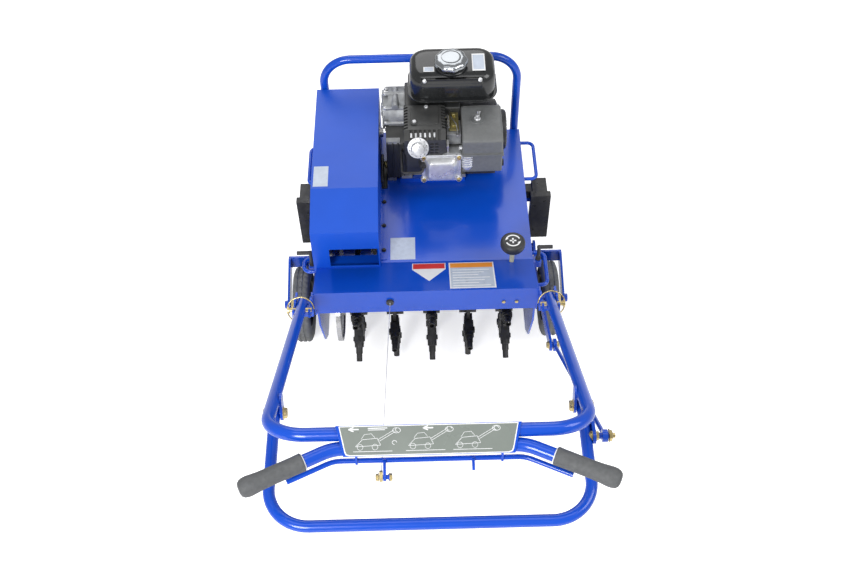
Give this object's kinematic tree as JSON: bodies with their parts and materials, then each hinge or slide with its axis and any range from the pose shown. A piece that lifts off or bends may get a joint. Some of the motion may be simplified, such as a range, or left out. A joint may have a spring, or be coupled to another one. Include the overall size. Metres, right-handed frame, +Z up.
{
  "type": "core aerator",
  "caption": "Walk-behind core aerator with an engine deck, tined reel, lift wheels and a tubular handle with a lift loop and clutch bail.",
  "frame": {"origin": "centre of the bounding box, on the ground", "axes": "+Y from the handle towards the engine, +X to the operator's right, +Z up"},
  "size_m": [0.762, 1.3475, 0.767],
  "materials": {
    "blue_paint": "gloss",
    "black_paint": "satin",
    "black_plastic": "satin",
    "tank_plastic": "gloss",
    "steel": "satin",
    "zinc": "satin",
    "cast_alloy": "matte",
    "cast_iron": "matte",
    "chrome": "gloss",
    "tyre": "matte",
    "rubber": "matte",
    "plate": "satin"
  },
  "bodies": {
    "chassis": {"side_plates": "blue_paint", "front_panel": "blue_paint", "deck": "blue_paint", "front_bar": "blue_paint", "belt_cover": "blue_paint", "lift_handles": "blue_paint", "side_weights": "cast_iron", "handle_brackets": "blue_paint", "bearings": "steel", "drive_bracket": "blue_paint", "front_axle": "steel", "cable_grommet": "rubber", "deck_bolts": "zinc", "crankcase": "cast_alloy", "cylinder_barrel": "cast_alloy", "valve_cover": "cast_alloy", "fuel_tank": "tank_plastic", "air_cleaner": "black_plastic", "carburettor": "cast_alloy", "muffler_guard": "black_paint", "exhaust_deflector": "steel", "starter_housing": "black_plastic", "gearbox": "cast_alloy", "drive_belt": "rubber", "drive_chain": "steel", "clutch_cable": "rubber"},
    "tine_reel": {"reel_shaft": "steel", "tine_discs": "cast_iron", "tine_holders": "cast_iron", "tines": "cast_iron", "reel_sprocket": "steel"},
    "jackshaft": {"jackshaft": "steel"},
    "engine_output": {"drive_pulley": "steel"},
    "wheel_lift": {"lift_frame": "blue_paint"},
    "rear_wheel_left": {"rear_tyre_left": "tyre", "rear_rim_left": "black_plastic"},
    "rear_wheel_right": {"rear_tyre_right": "tyre", "rear_rim_right": "black_plastic"},
    "front_wheel_left": {"front_wheel_left": "tyre"},
    "front_wheel_right": {"front_wheel_right": "tyre"},
    "lift_bellcrank": {"lift_bellcrank": "blue_paint"},
    "handle": {"handle_frame": "blue_paint", "handlebar": "blue_paint", "handle_plate": "plate", "grips": "rubber"},
    "lift_loop": {"lift_loop": "blue_paint"},
    "link_rod": {"link_rod": "blue_paint"},
    "clutch_bail": {"clutch_bail": "blue_paint"},
    "idler_arm": {"idler_arm": "steel"},
    "idler_pulley": {"idler_pulley": "black_plastic"},
    "lock_pin_left": {"lock_pin_left": "zinc"},
    "lock_pin_right": {"lock_pin_right": "zinc"},
    "lift_lock_knob": {"lift_lock_knob": "black_plastic"},
    "latch_lever_left": {"latch_lever_left": "black_paint"},
    "latch_lever_right": {"latch_lever_right": "black_paint"},
    "fuel_cap": {"fuel_cap": "chrome"},
    "air_cleaner_nut": {"air_cleaner_nut": "zinc"},
    "throttle_lever": {"throttle_lever": "steel"},
    "choke_lever": {"choke_lever": "steel"},
    "starter_grip": {"starter_grip": "black_plastic"}
  },
  "joints": [
    {"name": "reel_spin", "type": "hinge", "parent": "chassis", "child": "tine_reel", "pos_m": [0, 0.1945, 0.16], "axis": [1, 0, 0], "continuous": true},
    {"name": "jackshaft_spin", "type": "hinge", "parent": "chassis", "child": "jackshaft", "pos_m": [-0.18, 0.3705, 0.3], "axis": [1, 0, 0], "continuous": true},
    {"name": "output_spin", "type": "hinge", "parent": "chassis", "child": "engine_output", "pos_m": [-0.13, 0.5305, 0.457], "axis": [1, 0, 0], "continuous": true},
    {"name": "wheel_lift", "type": "hinge", "parent": "chassis", "child": "wheel_lift", "pos_m": [0, 0.3855, 0.15], "axis": [1, 0, 0], "range_deg": [-35, 0]},
    {"name": "rear_wheel_left_spin", "type": "hinge", "parent": "wheel_lift", "child": "rear_wheel_left", "pos_m": [-0.3285, 0.2465, 0.1016], "axis": [1, 0, 0], "continuous": true},
    {"name": "rear_wheel_right_spin", "type": "hinge", "parent": "wheel_lift", "child": "rear_wheel_right", "pos_m": [0.3285, 0.2465, 0.1016], "axis": [1, 0, 0], "continuous": true},
    {"name": "front_wheel_left_spin", "type": "hinge", "parent": "chassis", "child": "front_wheel_left", "pos_m": [-0.2, 0.5705, 0.075], "axis": [1, 0, 0], "continuous": true},
    {"name": "front_wheel_right_spin", "type": "hinge", "parent": "chassis", "child": "front_wheel_right", "pos_m": [0.2, 0.5705, 0.075], "axis": [1, 0, 0], "continuous": true},
    {"name": "bellcrank_swing", "type": "hinge", "parent": "chassis", "child": "lift_bellcrank", "pos_m": [0.29, 0.1045, 0.255], "axis": [1, 0, 0], "range_deg": [0, 17.9]},
    {"name": "handle_fold", "type": "hinge", "parent": "chassis", "child": "handle", "pos_m": [0, 0.0275, 0.386], "axis": [1, 0, 0], "range_deg": [-100, 0]},
    {"name": "loop_swing", "type": "hinge", "parent": "handle", "child": "lift_loop", "pos_m": [0, -0.4305, 0.643], "axis": [1, 0, 0], "range_deg": [0, 25.9]},
    {"name": "link_swing", "type": "hinge", "parent": "lift_loop", "child": "link_rod", "pos_m": [0.326, -0.4985, 0.645], "axis": [1, 0, 0], "range_deg": [-29.3, 0]},
    {"name": "bail_squeeze", "type": "hinge", "parent": "handle", "child": "clutch_bail", "pos_m": [0, -0.57064, 0.70351], "axis": [1, 0, 0], "range_deg": [-10, 0], "stiffness_Nm_per_rad": 2, "springref_deg": 8.59},
    {"name": "idler_swing", "type": "hinge", "parent": "chassis", "child": "idler_arm", "pos_m": [-0.147, 0.5925, 0.404], "axis": [1, 0, 0], "range_deg": [-10, 0]},
    {"name": "idler_spin", "type": "hinge", "parent": "idler_arm", "child": "idler_pulley", "pos_m": [-0.131, 0.5465, 0.326], "axis": [1, 0, 0], "continuous": true},
    {"name": "lock_pin_left_pull", "type": "slide", "parent": "handle", "child": "lock_pin_left", "axis": [-1, 0, 0], "range_m": [0, 0.014]},
    {"name": "lock_pin_right_pull", "type": "slide", "parent": "handle", "child": "lock_pin_right", "axis": [1, 0, 0], "range_m": [0, 0.014]},
    {"name": "lift_lock_pull", "type": "slide", "parent": "chassis", "child": "lift_lock_knob", "axis": [0, 0, 1], "range_m": [0, 0.02], "stiffness_N_per_m": 300, "springref_m": -0.01},
    {"name": "latch_left_turn", "type": "hinge", "parent": "chassis", "child": "latch_lever_left", "pos_m": [-0.281, 0.1865, 0.35], "axis": [0, 0, 1], "range_deg": [-90, 0]},
    {"name": "latch_right_turn", "type": "hinge", "parent": "chassis", "child": "latch_lever_right", "pos_m": [0.281, 0.1865, 0.35], "axis": [0, 0, 1], "range_deg": [0, 90]},
    {"name": "fuel_cap_turn", "type": "hinge", "parent": "chassis", "child": "fuel_cap", "pos_m": [0.076, 0.5435, 0.665], "axis": [0, 0, 1], "range_deg": [0, 90]},
    {"name": "air_cleaner_nut_turn", "type": "hinge", "parent": "chassis", "child": "air_cleaner_nut", "pos_m": [0.139, 0.4605, 0.565], "axis": [0, 0, 1], "continuous": true},
    {"name": "throttle_turn", "type": "hinge", "parent": "chassis", "child": "throttle_lever", "pos_m": [0.07, 0.4655, 0.546], "axis": [0, 0, 1], "range_deg": [0, 30]},
    {"name": "choke_turn", "type": "hinge", "parent": "chassis", "child": "choke_lever", "pos_m": [0.088, 0.4385, 0.546], "axis": [0, 0, 1], "range_deg": [-35, 0]},
    {"name": "starter_pull", "type": "slide", "parent": "chassis", "child": "starter_grip", "axis": [0, -0.9397, -0.342], "range_m": [0, 0.06], "stiffness_N_per_m": 60, "springref_m": -0.05}
  ],
  "couplings": [
    {"joint": "jackshaft_spin", "follows": "reel_spin", "ratio": 3},
    {"joint": "output_spin", "follows": "reel_spin", "ratio": 7.2632},
    {"joint": "bellcrank_swing", "follows": "wheel_lift", "ratio": -0.51},
    {"joint": "loop_swing", "follows": "wheel_lift", "ratio": -0.74},
    {"joint": "link_swing", "follows": "wheel_lift", "ratio": 0.836},
    {"joint": "idler_swing", "follows": "bail_squeeze", "ratio": 1}
  ]
}
